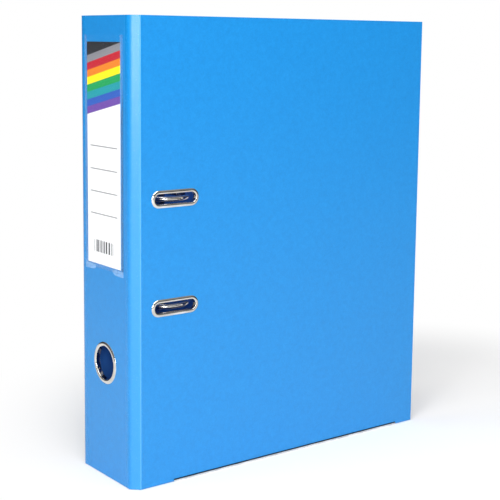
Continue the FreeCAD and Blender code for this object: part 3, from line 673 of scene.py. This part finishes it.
# Two welded gussets at the pocket's bottom corners, where the film is pressed flat and pale.
GUSSET_W = 0.0150
GUSSET_H = 0.0042
GUSSET_T = 0.00012
GUSSET_DROP = 0.0022
GUSSET_SINK = 0.00001
PRESSED_TINT = "8fcaff"
FROST_MM = 2.5
gusset_film, tree, shader = new_material("pvc_film_pressed")
where = add(tree, "ShaderNodeTexCoord").outputs["Object"]
frost = add(tree, "ShaderNodeTexNoise", {"Vector": where, "Scale": per_mm(FROST_MM),
                                         "Detail": 2.0})
milky = add(tree, "ShaderNodeMapRange", {"Value": frost.outputs["Fac"], "To Min": 0.3,
                                         "To Max": 0.8})
tree.links.new(milky.outputs["Result"], shader.inputs["Alpha"])
shader.inputs["Base Color"].default_value = linear(PRESSED_TINT)
shader.inputs["Roughness"].default_value = 0.25
for name, corner_y, step in (("near", pocket_low.y, 1), ("far", pocket_high.y, -1)):
    outline = [(0.0, 0.0), (0.72, 0.0), (0.92, 0.25), (1.0, 0.62), (0.96, 1.0), (0.5, 1.0),
               (0.2, 1.0), (0.0, 1.0)]
    base_z = pocket_low.z - GUSSET_DROP
    vertices = []
    for lift in (0.0, GUSSET_T):
        for reach, rise in outline:
            vertices.append((OUT_SPINE - GUSSET_SINK - lift, corner_y + step * reach * GUSSET_W,
                             base_z + rise * GUSSET_H))
    count = len(outline)
    faces = [tuple(range(count)), tuple(range(2 * count - 1, count - 1, -1))]
    faces += [(i, (i + 1) % count, count + (i + 1) % count, count + i) for i in range(count)]
    gusset = new_piece("pocket_gusset_" + name, vertices, faces, gusset_film)
    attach(gusset, "spine")


# The base plate. Mild steel sheet, pressed in one stroke: the lugs and ears are lanced out of it
# and bent up, the beads stiffen it. Barrel plated with nickel, so it is bright but not polished.
plated_sheet = plated_metal("nickel_plated_sheet_pressed", "a9abb0", "c3c4c6", 0.24, 0.6,
                            (1.0, 1.0, 0.12), 0.25)
paint(["base_plate"], plated_sheet)

# The rivets. Plated steel, set with a domed head inside; the feet outside are spun flat.
rivet_steel = plated_metal("nickel_plated_rivet_headed", "b5b2ac", "d6d3cd", 0.16, 0.8,
                           (1.0, 1.0, 1.0), 0.2)
paint(["rivet_1", "rivet_2", "rivet_3", "rivet_4"], rivet_steel)

# The posts and the arch. Drawn steel wire and turned steel, bright nickel plated: a little
# softer than a mirror, with faint draw lines.
wire_nickel = plated_metal("nickel_plated_wire_drawn", "dcdad5", "f3f1ec", 0.20, 0.5,
                           (1.0, 1.0, 1.0), 0.1)
paint(["post_upper", "post_lower", "arch_wire"], wire_nickel)


# The torsion spring. Hard-drawn steel wire, coiled on the arch's shaft; one leg hooks behind the
# lower arch and the other presses on the base plate.
SPRING_R = 0.0006
COIL_R = 0.0031
COIL_TURNS = 6.25
COIL_POINTS = 28
TUBE_SIDES = 12
SHAFT_IN, SHAFT_UP = 0.028, 0.005
COIL_FOOT_DROP, COIL_TOP_DROP = 0.026, 0.017
HOOK_ASIDE = 0.0022
HOOK_CLEAR = 0.00005
FOOT_NEAR, FOOT_FAR = 0.003, 0.008

spring_steel = plated_metal("spring_steel_hard_drawn", "5b5b60", "7e7f85", 0.3, 0.4,
                            (1.0, 1.0, 1.0), 0.05)
spring_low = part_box("torsion_spring")[0]
axis_x = OUT_SPINE + SHAFT_IN
axis_y = OUT_BACK - PANEL_DEPTH - SHAFT_UP
coil_low = TOP_Z / 2 - COIL_FOOT_DROP
coil_high = TOP_Z / 2 - COIL_TOP_DROP
hook_x = axis_x + HOOK_ASIDE
hook_y = spring_low.y + SPRING_R

# The hooked leg: down behind the arch, round its bend, and along to the start of the coil.
path = [Vector((hook_x, hook_y, spring_low.z + HOOK_CLEAR)),
        Vector((hook_x, hook_y, coil_low - 0.0035)),
        Vector((hook_x - 0.0003, hook_y + 0.0003, coil_low - 0.0012)),
        Vector((hook_x - 0.0017, hook_y + 0.0015, coil_low)),
        Vector((axis_x - COIL_R + 0.0011, axis_y - 0.0066, coil_low)),
        Vector((axis_x - COIL_R + 0.0002, axis_y - 0.0052, coil_low)),
        Vector((axis_x - COIL_R, axis_y - 0.0025, coil_low))]
steps = int(COIL_TURNS * COIL_POINTS)
for i in range(steps + 1):
    angle = math.pi - 2 * math.pi * COIL_TURNS * i / steps
    path.append(Vector((axis_x + COIL_R * math.cos(angle), axis_y + COIL_R * math.sin(angle),
                        coil_low + (coil_high - coil_low) * i / steps)))
# The foot, the straight leg that lies on the base plate.
path.append(Vector((axis_x + FOOT_NEAR, axis_y + COIL_R + 0.0001, coil_high)))
path.append(Vector((axis_x + FOOT_FAR, axis_y + COIL_R + 0.00025, coil_high)))


def tube(name, path, radius, sides, material):
    """A round wire along a path, closed at both ends."""
    vertices, faces = [], []
    guide = Vector((0, 0, 1))
    for i, point in enumerate(path):
        along = (path[min(i + 1, len(path) - 1)] - path[max(i - 1, 0)]).normalized()
        if abs(along.dot(guide)) > 0.98:
            guide = Vector((1, 0, 0))
        first = (guide - along * guide.dot(along)).normalized()
        guide = first
        second = along.cross(first)
        for k in range(sides):
            angle = 2 * math.pi * k / sides
            vertices.append(tuple(point + first * (radius * math.cos(angle))
                                  + second * (radius * math.sin(angle))))
    for i in range(len(path) - 1):
        for k in range(sides):
            n = (k + 1) % sides
            faces.append((i * sides + k, i * sides + n, (i + 1) * sides + n, (i + 1) * sides + k))
    faces.append(tuple(range(sides - 1, -1, -1)))
    faces.append(tuple(range((len(path) - 1) * sides, len(path) * sides)))
    return new_piece(name, vertices, faces, material, 60)


spring = tube("torsion_spring_wire", path, SPRING_R, TUBE_SIDES, spring_steel)
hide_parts("torsion_spring")
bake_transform(spring)


# The lever, a channel pressed from plated steel sheet with a rolled thumb end. Its axle and the
# roller's pin are ground steel, and the roller is moulded from white nylon.
pin_steel = plated_metal("steel_pin_ground", "97989c", "b2b3b6", 0.22, 0.3, (0.1, 1.0, 1.0), 0.15)
paint(["lever"], plated_sheet)
paint(["lever_axle", "roller_pin"], pin_steel)

nylon, tree, shader = new_material("nylon_moulded_natural")
where = add(tree, "ShaderNodeTexCoord").outputs["Object"]
haze = add(tree, "ShaderNodeTexNoise", {"Vector": where, "Scale": per_mm(3.0), "Detail": 2.0})
tint = add(tree, "ShaderNodeValToRGB", {"Fac": haze.outputs["Fac"]},
           stops=[(0.3, linear("d9d6cb")), (0.7, linear("ece9df"))])
tree.links.new(tint.outputs["Color"], shader.inputs["Base Color"])
edge_round = add(tree, "ShaderNodeBevel", {"Radius": 0.0004}, samples=4)
tree.links.new(edge_round.outputs["Normal"], shader.inputs["Normal"])
shader.inputs["Roughness"].default_value = 0.38
shader.inputs["IOR"].default_value = 1.53
paint(["roller"], nylon)


# The compressor bar. Plated sheet steel with turned-up sides, sliding on the posts to hold the
# paper down. A black acetal bush is snapped into it at each post.
bar_steel = plated_metal("nickel_plated_bar_rolled", "a4a6ab", "c6c7c9", 0.2, 0.5,
                         (1.0, 1.0, 0.08), 0.25)
paint(["compressor_bar"], bar_steel)

acetal, tree, shader = new_material("acetal_moulded_black")
where = add(tree, "ShaderNodeTexCoord").outputs["Object"]
spark = add(tree, "ShaderNodeTexNoise", {"Vector": where, "Scale": per_mm(0.4), "Detail": 2.0})
tint = add(tree, "ShaderNodeValToRGB", {"Fac": spark.outputs["Fac"]},
           stops=[(0.3, linear("131315")), (0.7, linear("212125"))])
tree.links.new(tint.outputs["Color"], shader.inputs["Base Color"])
edge_round = add(tree, "ShaderNodeBevel", {"Radius": 0.0003}, samples=4)
bump = add(tree, "ShaderNodeBump", {"Height": spark.outputs["Fac"], "Strength": 0.15,
                                    "Distance": 0.00005, "Normal": edge_round.outputs["Normal"]})
tree.links.new(bump.outputs["Normal"], shader.inputs["Normal"])
shader.inputs["Roughness"].default_value = 0.35
shader.inputs["IOR"].default_value = 1.48
paint(["compressor_bush_upper", "compressor_bush_lower"], acetal)


# The studio. A white floor that runs out of sight, soft white light from the left front and from
# above, and a camera level with the file's top, with a long lens.
FLOOR_REACH = 6.0
SHADOW_MIDDLE = (0.13, -0.02, 0.0)
SHADOW_NEAR, SHADOW_FAR = 0.21, 0.38
AIM = (0.0, 0.0, 0.15)
scene = bpy.context.scene
scene.view_settings.view_transform = "Standard"
scene.view_settings.look = "None"

# Painted board: matt white near the file, where it takes the shadows, and seen by the camera as
# plain white farther off.
floor_white, tree, shader = new_material("studio_floor_white")
output = tree.nodes["Material Output"]
where = add(tree, "ShaderNodeTexCoord").outputs["Object"]
away = add(tree, "ShaderNodeVectorMath", {0: where, 1: SHADOW_MIDDLE}, operation="DISTANCE")
fade = add(tree, "ShaderNodeMapRange", {"Value": away.outputs["Value"], "From Min": SHADOW_NEAR,
                                        "From Max": SHADOW_FAR}, interpolation_type="SMOOTHSTEP")
seen = add(tree, "ShaderNodeLightPath").outputs["Is Camera Ray"]
cover = add(tree, "ShaderNodeMath", {0: fade.outputs["Result"], 1: seen}, operation="MULTIPLY")
glow = add(tree, "ShaderNodeEmission", {"Color": (1, 1, 1, 1), "Strength": 1.0})
mixed = add(tree, "ShaderNodeMixShader", {0: cover.outputs["Value"], 1: shader.outputs["BSDF"],
                                          2: glow.outputs["Emission"]})
tree.links.new(mixed.outputs["Shader"], output.inputs["Surface"])
shader.inputs["Base Color"].default_value = (0.92, 0.92, 0.92, 1)
shader.inputs["Roughness"].default_value = 0.9
shader.inputs["Specular IOR Level"].default_value = 0.0
floor = new_piece("studio_floor", [(-FLOOR_REACH, -FLOOR_REACH, 0), (FLOOR_REACH, -FLOOR_REACH, 0),
                                   (FLOOR_REACH, FLOOR_REACH, 0), (-FLOOR_REACH, FLOOR_REACH, 0)],
                  [(0, 1, 2, 3)], floor_white)

world = bpy.data.worlds.new("studio_white")
scene.world = world
world.use_nodes = True
tree = world.node_tree
tree.nodes.clear()
where = add(tree, "ShaderNodeTexCoord").outputs["Generated"]
split = add(tree, "ShaderNodeSeparateXYZ", {"Vector": where})
rise = add(tree, "ShaderNodeMapRange", {"Value": split.outputs["Z"], "From Min": -1.0,
                                        "From Max": 1.0})
sky = add(tree, "ShaderNodeValToRGB", {"Fac": rise.outputs["Result"]},
          stops=[(0.0, (0.5, 0.5, 0.5, 1)), (0.5, (0.16, 0.16, 0.165, 1)),
                 (0.62, (0.24, 0.24, 0.24, 1)), (0.85, (0.8, 0.8, 0.8, 1)),
                 (1.0, (1.0, 1.0, 1.0, 1))])
near_side = add(tree, "ShaderNodeVectorMath", {0: where, 1: (-0.6, -0.8, 0.1)},
                operation="DOT_PRODUCT")
fill = add(tree, "ShaderNodeMapRange", {"Value": near_side.outputs["Value"], "From Min": -0.6,
                                        "From Max": 0.8, "To Min": 0.25, "To Max": 0.7})
room = add(tree, "ShaderNodeBackground", {"Color": sky.outputs["Color"],
                                          "Strength": fill.outputs["Result"]})
white = add(tree, "ShaderNodeBackground", {"Color": (1, 1, 1, 1), "Strength": 1.0})
seen = add(tree, "ShaderNodeLightPath").outputs["Is Camera Ray"]
both = add(tree, "ShaderNodeMixShader", {0: seen, 1: room.outputs["Background"],
                                         2: white.outputs["Background"]})
add(tree, "ShaderNodeOutputWorld", {"Surface": both.outputs["Shader"]})

# Each light: name, place, width and height in metres, watts.
LIGHTS = [("softbox_front", (-0.95, -1.45, 0.60), 0.5, 0.5, 10.5),
          ("softbox_left", (-1.5, -0.87, 0.55), 0.3, 0.8, 6.8),
          ("softbox_top", (-0.5, -0.6, 1.9), 1.7, 1.7, 35.0)]
for name, place, wide, tall, watts in LIGHTS:
    lamp = bpy.data.lights.new(name, "AREA")
    lamp.shape = "RECTANGLE"
    lamp.size, lamp.size_y, lamp.energy = wide, tall, watts
    holder = bpy.data.objects.new(name, lamp)
    scene.collection.objects.link(holder)
    holder.location = place
    holder.visible_camera = False
    towards = Vector(AIM) - Vector(place)
    holder.rotation_mode = "QUATERNION"
    holder.rotation_quaternion = towards.to_track_quat("-Z", "Y")

# The camera: its place in metres, where it looks in radians, and its lens in millimetres.
CAMERA_PLACE = (OUT_SPINE - 0.42982, -0.73942, 0.32880)
YAW, PITCH, ROLL = 0.6509, -0.1323, 0.0110
LENS_MM = 84.15
SHIFT_DOWN = -0.11
ahead = Vector((math.sin(YAW) * math.cos(PITCH), math.cos(YAW) * math.cos(PITCH),
                math.sin(PITCH)))
level = Vector((math.cos(YAW), -math.sin(YAW), 0.0))
upright = level.cross(ahead)
right = level * math.cos(ROLL) + upright * math.sin(ROLL)
up = upright * math.cos(ROLL) - level * math.sin(ROLL)
camera = bpy.data.objects.new("camera", bpy.data.cameras.new("camera"))
scene.collection.objects.link(camera)
camera.matrix_world = Matrix.Translation(CAMERA_PLACE) @ Matrix(
    (right, up, -ahead)).transposed().to_4x4()
camera.data.sensor_width = 36.0
camera.data.lens = LENS_MM
camera.data.shift_y = SHIFT_DOWN
camera.data.clip_start = 0.05
camera.data.clip_end = 50.0
scene.camera = camera
